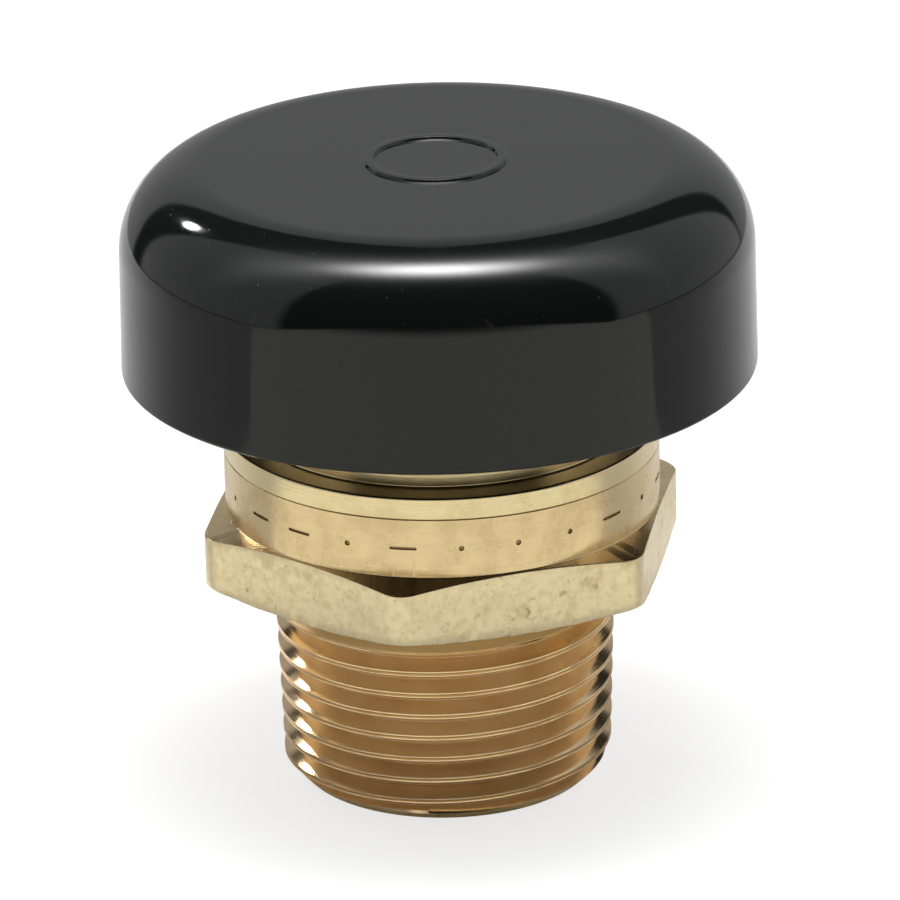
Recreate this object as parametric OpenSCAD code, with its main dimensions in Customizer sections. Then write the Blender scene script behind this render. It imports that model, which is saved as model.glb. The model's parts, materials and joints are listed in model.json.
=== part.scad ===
// Vacuum relief valve with a 3/4-14 NPT male inlet and a snap-on protective cap.
// A spring-loaded poppet holds a silicone disc up against the seat in the bonnet.
// When the line goes under vacuum the poppet drops and air enters beneath the cap.
// The origin is the centre of the thread's end face; +Z runs up the valve's axis.

/* [Inlet thread] */
// Threads per inch
thread_tpi = 14; // [14:1:14]
// Crest radius at the end face; the taper adds 1/32 of the height
crest_end_r = 12.93; // [12.8:0.01:13.05]
// Height of the first full crest
first_crest_z = 2.07; // [1.6:0.01:2.4]
// Number of crests; the last is the edge of the plain shank under the hexagon
crest_count = 8; // [6:1:8]
// Width of the flat on each crest
crest_flat = 0.32; // [0.1:0.01:0.4]
// Width of the flat at each root
root_flat = 0.1; // [0.05:0.01:0.2]
// Chamfer where the plain shank meets the hexagon
shank_fillet = 0.3; // [0.2:0.1:0.5]

/* [Hexagon] */
// Height of the hexagon's underside
hex_z = 17.35; // [17.2:0.05:18]
// Thickness of the hexagon
hex_h = 5.15; // [4.6:0.05:5.3]
// Width across the flats
hex_af = 34.5; // [34.2:0.1:35]
// Radius of the six vertical edges
hex_corner_r = 2.5; // [1:0.1:3]
// How far the turned chamfers drop at the corners
hex_chamfer = 0.55; // [0.2:0.05:0.8]

/* [Collar and bonnet] */
// Radius of the collar and of the bonnet's flange
collar_r = 17.03; // [16.9:0.01:17.2]
// Height of the joint between body and bonnet
joint_z = 27.25; // [26.8:0.05:27.6]
// Height of the flange's top face
flange_top_z = 29; // [28.6:0.1:29.4]
// Radius of the boss that carries the cap
boss_r = 14.8; // [14.6:0.1:15]
// Height of the boss's top
boss_top_z = 37; // [36.5:0.1:37.5]

/* [Waterway] */
// Radius of the bore that takes the lower guide
guide_bore_r = 9.5; // [9.3:0.1:9.6]
// Radius of the bore above the guide's ledge
shank_bore_r = 8.9; // [8.8:0.1:9]
// Height of the ledge that stops the guide
ledge_z = 9; // [8.5:0.5:10]
// Radius of the poppet chamber
chamber_r = 13.2; // [12.8:0.1:13.4]
// Height of the chamber's floor
chamber_floor_z = 19; // [18.8:0.1:19.2]

/* [Seat and poppet] */
// Height of the seat lip's face
seat_z = 27.35; // [27.3:0.05:27.5]
// Gap left between the closed disc and the lip
seat_gap = 0.05; // [0.03:0.01:0.1]
// Inner radius of the seat lip
seat_r = 8.5; // [8.4:0.1:8.8]
// Poppet travel from closed to fully open
travel = 3; // [2:0.1:3]
// Radius of the stem's guided ends
stem_r = 1.5; // [1.4:0.05:1.6]
// Radial running clearance of the stem in its guides
stem_clearance = 0.06; // [0.03:0.01:0.1]
// Radius of the silicone disc
disc_r = 10.6; // [10.2:0.1:10.8]
// Thickness of the silicone disc
disc_t = 2; // [1.5:0.1:2]

/* [Return spring] */
// Wire diameter
wire_d = 0.3; // [0.25:0.05:0.4]
// Mean radius of the coil
coil_r = 2.6; // [2.4:0.05:2.7]
// Active turns
active_turns = 7; // [5:1:8]
// Length when the valve is closed
spring_len = 8.5; // [8:0.1:9]

/* [Protective cap] */
// Radius at the rim
cap_rim_r = 24.73; // [24:0.01:25]
// Radius where the side meets the shoulder
cap_side_r = 24.45; // [24:0.01:24.7]
// Height of the rim
cap_rim_z = 33.91; // [33.5:0.01:34.2]
// Height of the flat top
cap_top_z = 50.3; // [49.5:0.1:51]
// Radius of the rounded shoulder
shoulder_r = 6.7; // [5:0.1:7]
// Thickness of the side wall
cap_wall = 1.5; // [1.2:0.1:1.8]
// Thickness of the top
cap_roof = 1.8; // [1.5:0.1:2]
// Number of snap fingers, and of ribs between them
finger_count = 6; // [4:2:6]
// Angle that one finger spans, in degrees
finger_angle = 24; // [16:2:28]

/* [Hidden] */
$fn = 96;

BRASS = "#cdb884";
STEEL = "#b9bcbf";
ACETAL = "#e6e3d8";
SILICONE = "#c8552f";
EPDM = "#26262a";
CAP_BLACK = "#1c1d1c";

eps = 0.01;
edge = 0.15;
lead = 0.4;

// Thread form: 60 degree flanks on a 1:16 taper
pitch = 25.4 / thread_tpi;
taper = 1 / 32;
thread_depth = (pitch - crest_flat - root_flat) / 2 / tan(30);
ridge_half = (pitch - root_flat) / 2;
end_edge = 0.1;
function crest_r(z) = crest_end_r + z * taper;
function root_r(z) = crest_r(z) - thread_depth;
function crest_z(k) = first_crest_z + k * pitch;

// Body
hex_top_z = hex_z + hex_h;
hex_corner_reach = (hex_af / 2 - hex_corner_r) / cos(30);
hex_round_r = hex_corner_reach + hex_corner_r;
undercut_r = collar_r - 0.45;
undercut_h = 0.25;
socket_r = 15.05;
socket_z = 23;
gland_r = 16.2;
gland_z = joint_z - 1.2;
joint_chamfer = 0.1;
mouth_chamfer = 0.8;
clip_groove_r = 10.1;
clip_groove_z = 4;
clip_groove_h = 1.1;

// Bonnet
skirt_r = socket_r - 0.04;
skirt_z = socket_z + 0.1;
web_z = 28.3;
web_top_z = 31;
cup_r = 12.4;
port_r = 8.4;
lip_w = 0.8;
snap_groove_r = 14.2;
snap_groove_z = 34.4;
snap_groove_h = 1.2;
hub_r = 3.6;
hub_z = 29.4;
hub_top_z = 33;
hub_bore_r = 2.3;
spoke_w = 1.8;
wrench_slot_w = 3;
wrench_slot_h = 1.4;

// Guides
stem_bore_r = stem_r + stem_clearance;
bush_flange_r = 3.4;
bush_flange_h = 0.8;
guide_h = 3.8;
guide_r = guide_bore_r - 0.03;
guide_ring_in_r = 8.7;
guide_hub_r = 3;
guide_arm_w = 1.6;
clip_t = 1;
clip_lug_r = 1.35;
clip_lug_hole_r = 0.6;
clip_gap_angle = 24;

// Poppet, listed from the seat downwards
disc_top_z = seat_z - seat_gap;
disc_z = disc_top_z - disc_t;
washer_t = 0.8;
washer_r = 5.6;
stem_flange_r = 2.8;
stem_flange_h = 0.8;
holder_base = 2;
holder_r = 11.4;
holder_rim_h = 1;
holder_z = disc_z - holder_base;
thread_r = 2;
thread_edge = 0.3;
bolt_hole_r = thread_r + 0.02;
lock_t = 0.8;
lock_r = 3.7;
nut_af = 7;
nut_h = 3.2;
nut_z = holder_z - lock_t - nut_h;
stem_end_z = 8;
stem_top_z = 45;
stem_step_z = nut_z + 0.1;
guide_stop_z = nut_z - travel - 0.1;

// Spring stack
spring_z = hub_top_z + bush_flange_h;
spring_top_z = spring_z + spring_len;
retainer_t = 0.7;
retainer_r = 3.4;
retainer_lip = 0.5;
retainer_bore_r = stem_r + 0.03;
clip_groove_stem_r = 1.1;
clip_stem_t = 0.6;
clip_stem_z = spring_top_z + retainer_t;
clip_stem_r = 3;
end_turns = 1;
turn_steps = 20;
wire_sides = 8;

// Cap
shoulder_z = cap_top_z - shoulder_r;
inner_top_z = cap_top_z - cap_roof;
inner_shoulder_r = shoulder_r - cap_wall;
rim_thinning = 0.4;
finger_in_r = boss_r + 0.15;
finger_t = 1.25;
finger_z = snap_groove_z - 0.2;
bead_in_r = snap_groove_r + 0.15;
bead_gap = 0.15;
bead_lead = 0.1;
rib_t = 1.2;
rib_in_r = 12;
rib_z = boss_top_z + 0.05;
rib_outer_z = 42;
mark_r = 5.6;
mark_w = 0.9;
mark_h = 0.2;

// ---------- shared shapes ----------

module ring(r_out, r_in, h) {
  difference() {
    cylinder(r = r_out, h = h);
    translate([0, 0, -1]) cylinder(r = r_in, h = h + 2);
  }
}

// A hexagon with its corners at +Y and -Y and rounded vertical edges
module round_hexagon(reach, r) {
  polygon([
    for (k = [0 : 5])
      for (side = [-30, 30])
        let (a = 30 + 60 * k)
          [reach * cos(a) + r * cos(a + side), reach * sin(a) + r * sin(a + side)]
  ]);
  for (k = [0 : 5])
    rotate(30 + 60 * k)
      translate([reach, 0]) circle(r = r);
}

// ---------- body ----------

// Lower flank of crest k, up to the crest's lower edge
function lower_flank(k) = let (z = crest_z(k)) [
  [root_r(z - ridge_half), z - ridge_half],
  [crest_r(z), z - crest_flat / 2]
];

// Upper flank of crest k, from the crest's upper edge
function upper_flank(k) = let (z = crest_z(k)) [
  [crest_r(z), z + crest_flat / 2],
  [root_r(z + ridge_half), z + ridge_half]
];

module shank() {
  last = crest_count - 1;
  blank_r = crest_r(crest_z(last));
  rotate_extrude()
    polygon(concat(
      [[0, 0], [root_r(0) - end_edge, 0], [root_r(0), end_edge]],
      [for (k = [0 : last - 1]) each concat(lower_flank(k), upper_flank(k))],
      lower_flank(last),
      [[blank_r, hex_z - shank_fillet], [blank_r + shank_fillet, hex_z + eps],
       [blank_r, hex_z + 1], [0, hex_z + 1]]
    ));
}

module hexagon() {
  flat_r = hex_af / 2;
  intersection() {
    translate([0, 0, hex_z]) linear_extrude(hex_h) round_hexagon(hex_corner_reach, hex_corner_r);
    rotate_extrude()
      polygon([
        [0, hex_z], [flat_r - 0.1, hex_z], [hex_round_r + 0.1, hex_z + hex_chamfer],
        [hex_round_r + 0.1, hex_top_z - hex_chamfer], [flat_r - 0.3, hex_top_z], [0, hex_top_z]
      ]);
  }
}

module collar() {
  rotate_extrude()
    polygon([
      [0, hex_top_z - 1], [undercut_r, hex_top_z - 1], [undercut_r, hex_top_z + undercut_h],
      [collar_r - edge, hex_top_z + undercut_h + edge], [collar_r, hex_top_z + undercut_h + lead],
      [collar_r, joint_z - joint_chamfer], [collar_r - joint_chamfer, joint_z], [0, joint_z]
    ]);
}

module waterway() {
  rotate_extrude()
    polygon([
      [0, -1], [guide_bore_r + mouth_chamfer + 1, -1], [guide_bore_r, mouth_chamfer],
      [guide_bore_r, clip_groove_z], [clip_groove_r, clip_groove_z],
      [clip_groove_r, clip_groove_z + clip_groove_h], [guide_bore_r, clip_groove_z + clip_groove_h],
      [guide_bore_r, ledge_z], [shank_bore_r, ledge_z],
      [shank_bore_r, chamber_floor_z - 0.5], [shank_bore_r + 0.5, chamber_floor_z],
      [chamber_r, chamber_floor_z], [chamber_r, socket_z], [socket_r, socket_z],
      [socket_r, gland_z], [gland_r, gland_z], [gland_r, joint_z + 1], [0, joint_z + 1]
    ]);
}

module valve_body() {
  color(BRASS)
    difference() {
      union() {
        shank();
        hexagon();
        collar();
      }
      waterway();
    }
}

// ---------- bonnet ----------

module bonnet_shell() {
  rotate_extrude()
    polygon([
      [chamber_r, skirt_z], [skirt_r - lead, skirt_z], [skirt_r, skirt_z + lead], [skirt_r, joint_z],
      [collar_r - joint_chamfer, joint_z], [collar_r, joint_z + joint_chamfer],
      [collar_r, flange_top_z - edge], [collar_r - edge, flange_top_z], [boss_r, flange_top_z],
      [boss_r, snap_groove_z], [snap_groove_r, snap_groove_z],
      [snap_groove_r, snap_groove_z + snap_groove_h], [boss_r, snap_groove_z + snap_groove_h],
      [boss_r, boss_top_z - lead], [boss_r - lead, boss_top_z], [cup_r + lead, boss_top_z],
      [cup_r, boss_top_z - lead], [cup_r, web_top_z], [port_r, web_top_z], [port_r, web_z],
      [seat_r, web_z], [seat_r, seat_z + edge], [seat_r + edge, seat_z],
      [seat_r + lip_w - edge, seat_z], [seat_r + lip_w, seat_z + edge], [seat_r + lip_w, web_z],
      [chamber_r, web_z]
    ]);
}

module bonnet() {
  color(BRASS)
    difference() {
      union() {
        bonnet_shell();
        translate([0, 0, hub_z]) cylinder(r = hub_r, h = hub_top_z - hub_z);
        for (a = [45, 135])
          rotate(a)
            translate([-port_r - 1, -spoke_w / 2, hub_z])
              cube([2 * port_r + 2, spoke_w, web_top_z - hub_z]);
      }
      translate([0, 0, hub_z - 1]) cylinder(r = hub_bore_r, h = hub_top_z - hub_z + 2);
      translate([-boss_r - 1, -wrench_slot_w / 2, boss_top_z - wrench_slot_h])
        cube([2 * boss_r + 2, wrench_slot_w, wrench_slot_h + 1]);
    }
}

module bonnet_o_ring() {
  gland_w = gland_r - skirt_r;
  section_r = (joint_z - gland_z) / 2 - 0.04;
  color(EPDM)
    rotate_extrude()
      translate([skirt_r + gland_w / 2, gland_z + (joint_z - gland_z) / 2]) circle(r = section_r, $fn = 32);
}

module guide_bush() {
  bush_top_z = hub_top_z + bush_flange_h;
  color(ACETAL)
    rotate_extrude()
      polygon([
        [stem_bore_r, hub_z + edge], [stem_bore_r + edge, hub_z], [hub_bore_r - edge, hub_z],
        [hub_bore_r, hub_z + edge], [hub_bore_r, hub_top_z], [bush_flange_r, hub_top_z],
        [bush_flange_r, bush_top_z - edge], [bush_flange_r - edge, bush_top_z],
        [stem_bore_r + edge, bush_top_z], [stem_bore_r, bush_top_z - edge]
      ]);
}

// ---------- lower guide ----------

module lower_guide() {
  guide_z = ledge_z - guide_h;
  color(ACETAL)
    difference() {
      union() {
        translate([0, 0, guide_z]) ring(guide_r, guide_ring_in_r, guide_h);
        translate([0, 0, guide_z]) cylinder(r = guide_hub_r, h = guide_stop_z - guide_z - lead);
        translate([0, 0, guide_stop_z - lead])
          cylinder(r1 = guide_hub_r, r2 = guide_hub_r - lead, h = lead);
        for (a = [45, 135])
          rotate(a)
            translate([-guide_ring_in_r - 0.3, -guide_arm_w / 2, guide_z])
              cube([2 * guide_ring_in_r + 0.6, guide_arm_w, guide_h]);
      }
      translate([0, 0, guide_z - 1]) cylinder(r = stem_bore_r, h = guide_stop_z - guide_z + 2);
    }
}

// Internal retaining ring with two plier lugs either side of its gap
module guide_ring() {
  lug_reach = guide_ring_in_r - 0.4;
  lug_angle = clip_gap_angle / 2 + 7;
  color(STEEL)
    translate([0, 0, clip_groove_z + 0.05])
      linear_extrude(clip_t)
        rotate(45)
          difference() {
            union() {
              difference() {
                circle(r = clip_groove_r - 0.05);
                circle(r = guide_ring_in_r);
                polygon([
                  [0, 0], [12 * cos(clip_gap_angle / 2), -12 * sin(clip_gap_angle / 2)],
                  [12 * cos(clip_gap_angle / 2), 12 * sin(clip_gap_angle / 2)]
                ]);
              }
              for (side = [-1, 1])
                rotate(side * lug_angle) translate([lug_reach, 0]) circle(r = clip_lug_r);
            }
            for (side = [-1, 1])
              rotate(side * lug_angle) translate([lug_reach, 0]) circle(r = clip_lug_hole_r, $fn = 24);
          }
}

// ---------- poppet ----------

module stem() {
  flange_z = disc_top_z + washer_t;
  color(STEEL)
    rotate_extrude()
      polygon([
        [0, stem_end_z], [stem_r - lead, stem_end_z], [stem_r, stem_end_z + lead], [stem_r, stem_step_z],
        [thread_r - thread_edge, stem_step_z], [thread_r, stem_step_z + thread_edge], [thread_r, flange_z],
        [stem_flange_r, flange_z], [stem_flange_r, flange_z + stem_flange_h],
        [stem_r, flange_z + stem_flange_h], [stem_r, clip_stem_z],
        [clip_groove_stem_r, clip_stem_z], [clip_groove_stem_r, clip_stem_z + clip_stem_t],
        [stem_r, clip_stem_z + clip_stem_t], [stem_r, stem_top_z - lead], [stem_r - lead, stem_top_z],
        [0, stem_top_z]
      ]);
}

module disc_holder() {
  rim_in_r = disc_r + 0.05;
  color(BRASS)
    rotate_extrude()
      polygon([
        [bolt_hole_r, holder_z], [5, holder_z], [holder_r - 1.2, holder_z + 0.7],
        [holder_r, holder_z + 1.2], [holder_r, disc_z + holder_rim_h - edge],
        [holder_r - edge, disc_z + holder_rim_h], [rim_in_r, disc_z + holder_rim_h],
        [rim_in_r, disc_z], [bolt_hole_r, disc_z]
      ]);
}

module seat_disc() {
  color(SILICONE)
    rotate_extrude()
      polygon([
        [bolt_hole_r, disc_z], [disc_r, disc_z], [disc_r, disc_top_z - edge],
        [disc_r - edge, disc_top_z], [bolt_hole_r, disc_top_z]
      ]);
}

module disc_washer() {
  color(STEEL)
    translate([0, 0, disc_top_z])
      difference() {
        union() {
          cylinder(r = washer_r, h = washer_t - edge);
          translate([0, 0, washer_t - edge]) cylinder(r1 = washer_r, r2 = washer_r - edge, h = edge);
        }
        translate([0, 0, -1]) cylinder(r = bolt_hole_r, h = washer_t + 2);
      }
}

// Split spring washer, drawn flat
module lock_washer() {
  color(STEEL)
    translate([0, 0, holder_z - lock_t])
      difference() {
        ring(lock_r, bolt_hole_r, lock_t);
        rotate(60) translate([0, -0.2, -1]) cube([lock_r + 1, 0.4, lock_t + 2]);
      }
}

module stem_nut() {
  corner_r = nut_af / 2 / cos(30);
  nut_edge = 0.3;
  color(STEEL)
    translate([0, 0, nut_z])
      difference() {
        intersection() {
          cylinder(r = corner_r, h = nut_h, $fn = 6);
          union() {
            cylinder(r1 = corner_r - lead, r2 = corner_r + edge, h = nut_edge);
            translate([0, 0, nut_edge]) cylinder(r = corner_r + edge, h = nut_h - 2 * nut_edge);
            translate([0, 0, nut_h - nut_edge])
              cylinder(r1 = corner_r + edge, r2 = corner_r - lead, h = nut_edge);
          }
        }
        translate([0, 0, -1]) cylinder(r = bolt_hole_r, h = nut_h + 2);
      }
}

// ---------- return spring ----------

turns = active_turns + 2 * end_turns;
coil_rise = spring_len - wire_d;
closed_rise = wire_d * 1.05;
active_rise = (coil_rise - 2 * end_turns * closed_rise) / active_turns;

// Height of the wire's centre after t turns: close-wound ends and open turns between
function coil_z(t) =
  t < end_turns ? t * closed_rise
  : t < end_turns + active_turns ? end_turns * closed_rise + (t - end_turns) * active_rise
  : end_turns * closed_rise + active_turns * active_rise + (t - end_turns - active_turns) * closed_rise;

function coil_ring(i) =
  let (t = i / turn_steps, a = 360 * t, z = spring_z + wire_d / 2 + coil_z(t))
    [for (j = [0 : wire_sides - 1])
      let (b = 360 * j / wire_sides, r = coil_r + wire_d / 2 * cos(b))
        [r * cos(a), r * sin(a), z + wire_d / 2 * sin(b)]];

module return_spring() {
  rings = turns * turn_steps;
  points = [for (i = [0 : rings]) each coil_ring(i)];
  faces = concat(
    [[for (j = [0 : wire_sides - 1]) j]],
    [for (i = [0 : rings - 1])
      for (j = [0 : wire_sides - 1])
        let (a = i * wire_sides, n = (j + 1) % wire_sides)
          [a + j, a + wire_sides + j, a + wire_sides + n, a + n]],
    [[for (j = [wire_sides - 1 : -1 : 0]) rings * wire_sides + j]]
  );
  color(STEEL) polyhedron(points = points, faces = faces, convexity = 10);
}

module spring_retainer() {
  color(STEEL)
    rotate_extrude()
      polygon([
        [retainer_bore_r, spring_top_z], [retainer_r - lead, spring_top_z],
        [retainer_r - lead, spring_top_z - retainer_lip], [retainer_r, spring_top_z - retainer_lip],
        [retainer_r, spring_top_z + retainer_t - edge], [retainer_r - edge, spring_top_z + retainer_t],
        [retainer_bore_r, spring_top_z + retainer_t]
      ]);
}

// E-shaped clip: an open ring with three teeth that reach into the stem's groove
module stem_clip() {
  tooth_w = 0.9;
  color(STEEL)
    translate([0, 0, clip_stem_z + 0.03])
      linear_extrude(clip_stem_t - 0.06)
        difference() {
          union() {
            difference() {
              circle(r = clip_stem_r);
              circle(r = clip_stem_r - 0.9);
            }
            for (a = [90, 180, 270])
              rotate(a) translate([clip_groove_stem_r + 0.02, -tooth_w / 2]) square([1.4, tooth_w]);
          }
          translate([0, -1.15]) square([clip_stem_r + 1, 2.3]);
        }
}

// ---------- cap ----------

// Half outline of a domed cup: a slightly tapered side, a round shoulder and a flat top
module cup_outline(rim_r, side_r, rim_z, top_z, round_r) {
  round_x = side_r - round_r;
  round_z = top_z - round_r;
  polygon([[0, rim_z], [rim_r, rim_z], [side_r, round_z], [0, round_z]]);
  translate([0, round_z - eps]) square([round_x, round_r + eps]);
  intersection() {
    translate([round_x, round_z]) circle(r = round_r, $fn = 128);
    translate([round_x - eps, round_z - eps]) square([round_r + 1, round_r + 1]);
  }
}

module cap_shell() {
  rotate_extrude($fn = 180)
    difference() {
      cup_outline(cap_rim_r, cap_side_r, cap_rim_z, cap_top_z, shoulder_r);
      cup_outline(cap_rim_r - cap_wall + rim_thinning, cap_side_r - cap_wall, cap_rim_z - eps,
                  inner_top_z, inner_shoulder_r);
    }
}

// Curved leg with a bead at its foot that sits in the bonnet's groove
module snap_finger() {
  bead_top_z = snap_groove_z + snap_groove_h - bead_gap;
  rotate(-finger_angle / 2)
    rotate_extrude(angle = finger_angle)
      polygon([
        [finger_in_r + finger_t, finger_z], [finger_in_r + finger_t, inner_top_z + eps],
        [finger_in_r, inner_top_z + eps], [finger_in_r, bead_top_z],
        [bead_in_r, bead_top_z - bead_lead], [bead_in_r, snap_groove_z + bead_gap + 2 * bead_lead],
        [finger_in_r + 2 * bead_lead, finger_z]
      ]);
}

module cap_rib() {
  outer = cap_side_r - cap_wall + 0.3;
  rotate([90, 0, 0])
    translate([0, 0, -rib_t / 2])
      linear_extrude(rib_t)
        polygon([
          [rib_in_r, rib_z], [finger_in_r + finger_t, rib_z], [outer, rib_outer_z],
          [outer, shoulder_z], [cap_side_r - shoulder_r + 1, inner_top_z + eps],
          [rib_in_r, inner_top_z + eps]
        ]);
}

// Plain raised ring that finishes the middle of the top
module top_mark() {
  translate([0, 0, cap_top_z - eps]) ring(mark_r, mark_r - mark_w, mark_h + eps);
}

module protective_cap() {
  step = 360 / finger_count;
  color(CAP_BLACK) {
    cap_shell();
    top_mark();
    for (k = [0 : finger_count - 1]) {
      rotate(k * step) cap_rib();
      rotate((k + 0.5) * step) snap_finger();
    }
  }
}

valve_body();
bonnet();
bonnet_o_ring();
guide_bush();
lower_guide();
guide_ring();
stem();
disc_holder();
seat_disc();
disc_washer();
lock_washer();
stem_nut();
return_spring();
spring_retainer();
stem_clip();
protective_cap();
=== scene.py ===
import json
import math

import bmesh
import bpy
from mathutils import Matrix, Vector, noise


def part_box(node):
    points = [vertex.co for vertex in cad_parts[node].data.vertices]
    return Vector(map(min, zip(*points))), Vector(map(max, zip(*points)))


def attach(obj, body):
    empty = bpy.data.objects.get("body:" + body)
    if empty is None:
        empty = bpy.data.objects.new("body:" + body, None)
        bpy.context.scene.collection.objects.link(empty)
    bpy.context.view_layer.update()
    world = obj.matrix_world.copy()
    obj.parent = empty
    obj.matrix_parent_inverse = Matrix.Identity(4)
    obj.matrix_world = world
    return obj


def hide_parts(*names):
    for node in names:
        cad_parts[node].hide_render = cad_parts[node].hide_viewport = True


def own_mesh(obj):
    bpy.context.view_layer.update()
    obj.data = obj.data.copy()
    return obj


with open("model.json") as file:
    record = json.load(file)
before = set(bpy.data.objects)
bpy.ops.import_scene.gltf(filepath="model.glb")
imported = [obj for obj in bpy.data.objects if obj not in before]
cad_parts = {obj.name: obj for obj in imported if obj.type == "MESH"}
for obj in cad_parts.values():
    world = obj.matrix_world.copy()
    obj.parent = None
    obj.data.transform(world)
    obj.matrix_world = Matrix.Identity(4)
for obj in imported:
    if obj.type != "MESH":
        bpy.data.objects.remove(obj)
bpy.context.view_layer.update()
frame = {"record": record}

# Lengths below are in millimetres; MM turns them into Blender's metres.
MM = 0.001

record = frame["record"]
BODY_OF = {node: body for body, nodes in record["behaviour"]["bodies"].items() for node in nodes}


def box_mm(node):
    """Lowest and highest corner of a CAD node, in millimetres."""
    low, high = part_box(node)
    return low / MM, high / MM


# ---------- camera ----------

CAMERA_TURN = math.radians(10.4)
CAMERA_RISE = math.radians(21.45)
CAMERA_ROLL = math.radians(-1.214)
CAMERA_DISTANCE = 500
CAMERA_LENS = 255.76
SIDE_SHIFT = 0.65
AIM_HEIGHT = 26.26

RIGHT = Vector((math.cos(CAMERA_TURN), math.sin(CAMERA_TURN), 0))
FRONT = Vector((math.sin(CAMERA_TURN), -math.cos(CAMERA_TURN), 0))


def add_camera():
    data = bpy.data.cameras.new("photo_camera")
    data.lens = CAMERA_LENS
    data.sensor_width = 36
    data.clip_start = 0.01
    camera = bpy.data.objects.new("photo_camera", data)
    bpy.context.scene.collection.objects.link(camera)
    back = FRONT * math.cos(CAMERA_RISE) + Vector((0, 0, math.sin(CAMERA_RISE)))
    up = back.cross(RIGHT)
    cos_roll, sin_roll = math.cos(CAMERA_ROLL), math.sin(CAMERA_ROLL)
    rolled_right = RIGHT * cos_roll + up * sin_roll
    rolled_up = up * cos_roll - RIGHT * sin_roll
    place = RIGHT * SIDE_SHIFT + Vector((0, 0, AIM_HEIGHT)) + back * CAMERA_DISTANCE
    matrix = Matrix((rolled_right, rolled_up, back)).transposed().to_4x4()
    matrix.translation = place * MM
    camera.matrix_world = matrix
    bpy.context.scene.camera = camera


# ---------- node trees ----------


class Tree:
    """A node tree written as arithmetic: each call adds one node and returns its output."""

    def __init__(self, owner):
        owner.use_nodes = True
        self.tree = owner.node_tree
        self.tree.nodes.clear()

    def add(self, kind, inputs=(), **settings):
        node = self.tree.nodes.new(kind)
        for name, value in settings.items():
            setattr(node, name, value)
        for key, value in dict(inputs).items():
            if isinstance(value, bpy.types.NodeSocket):
                self.tree.links.new(value, node.inputs[key])
            else:
                node.inputs[key].default_value = value
        return node

    def math(self, operation, *values, clamp=False):
        node = self.add("ShaderNodeMath", enumerate(values), operation=operation, use_clamp=clamp)
        return node.outputs[0]

    def vector(self, operation, *values):
        return self.add("ShaderNodeVectorMath", enumerate(values), operation=operation).outputs[0]

    def along(self, vector, axis):
        """How far a vector reaches along an axis of length 1."""
        inputs = {0: vector, 1: tuple(axis)}
        return self.add("ShaderNodeVectorMath", inputs, operation="DOT_PRODUCT").outputs["Value"]

    def step(self, value, low, high, to_low=0.0, to_high=1.0):
        """Smooth step from to_low to to_high as value goes from low to high."""
        inputs = {"Value": value, "From Min": low, "From Max": high, "To Min": to_low, "To Max": to_high}
        return self.add("ShaderNodeMapRange", inputs, interpolation_type="SMOOTHSTEP").outputs[0]

    def noise(self, vector, scale, detail=3.0, roughness=0.5):
        inputs = {"Vector": vector, "Scale": scale, "Detail": detail, "Roughness": roughness}
        return self.add("ShaderNodeTexNoise", inputs).outputs["Fac"]

    def mix(self, factor, first, second):
        """Mix of two colours; inputs 6 and 7 and output 2 are the node's colour sockets."""
        node = self.add("ShaderNodeMix", {0: factor, 6: first, 7: second}, data_type="RGBA")
        return node.outputs[2]

    def bump(self, height, distance, strength=1.0):
        inputs = {"Height": height, "Distance": distance, "Strength": strength}
        return self.add("ShaderNodeBump", inputs).outputs[0]

    def place_mm(self):
        """Position in the object's own frame, in millimetres."""
        coordinates = self.add("ShaderNodeTexCoord").outputs["Object"]
        return self.vector("MULTIPLY", coordinates, (1 / MM,) * 3)

    def radius_height(self, place):
        """Distance from the Z axis, and height."""
        parts = self.add("ShaderNodeSeparateXYZ", {"Vector": place}).outputs
        squares = [self.math("MULTIPLY", parts[i], parts[i]) for i in (0, 1)]
        return self.math("SQRT", self.math("ADD", *squares)), parts[2]

    def turned(self, place):
        """Coordinates that are constant round the Z axis: lathe marks follow them."""
        radius, height = self.radius_height(place)
        return self.add("ShaderNodeCombineXYZ", {"X": radius, "Z": height}).outputs[0]

    def principled(self, **sockets):
        shader = self.add("ShaderNodeBsdfPrincipled", {k.replace("_", " "): v for k, v in sockets.items()})
        self.tree.links.new(shader.outputs[0], self.add("ShaderNodeOutputMaterial").inputs["Surface"])


def colour(red, green, blue):
    return (red, green, blue, 1.0)


def new_material(name):
    material = bpy.data.materials.new(name)
    return material, Tree(material)


def turned_brass(name, base, stain, roughness, mark_depth, painted_shade_from_z=None):
    """Brass off the lathe: faint rings from the tool, cloudy tarnish and small specks.

    From a given height upwards the metal is painted brown: painted shade, as under the hexagon's overhang."""
    material, tree = new_material(name)
    place = tree.place_mm()
    rings = tree.noise(tree.turned(place), 9.0, 4.0, 0.7)
    clouds = tree.noise(place, 0.35, 4.0, 0.6)
    specks = tree.step(tree.noise(place, 4.5, 2.0, 0.5), 0.68, 0.76)
    tint = tree.mix(tree.step(clouds, 0.42, 0.72), base, stain)
    if painted_shade_from_z is not None:
        height = tree.radius_height(place)[1]
        # Painted shade: brown from the given height upwards.
        painted_shade = tree.step(tree.math("ADD", height, clouds), painted_shade_from_z, painted_shade_from_z + 1.4)
        tint = tree.mix(tree.math("MULTIPLY", painted_shade, 0.85), tint, colour(0.62, 0.36, 0.11))
    tint = tree.mix(tree.math("MULTIPLY", specks, 0.35), tint, colour(0.30, 0.21, 0.10))
    rough = tree.step(clouds, 0.3, 0.75, roughness, roughness + 0.08)
    normal = tree.bump(rings, mark_depth * MM)
    tree.principled(Base_Color=tint, Metallic=1.0, Roughness=rough, Normal=normal)
    return material


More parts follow.
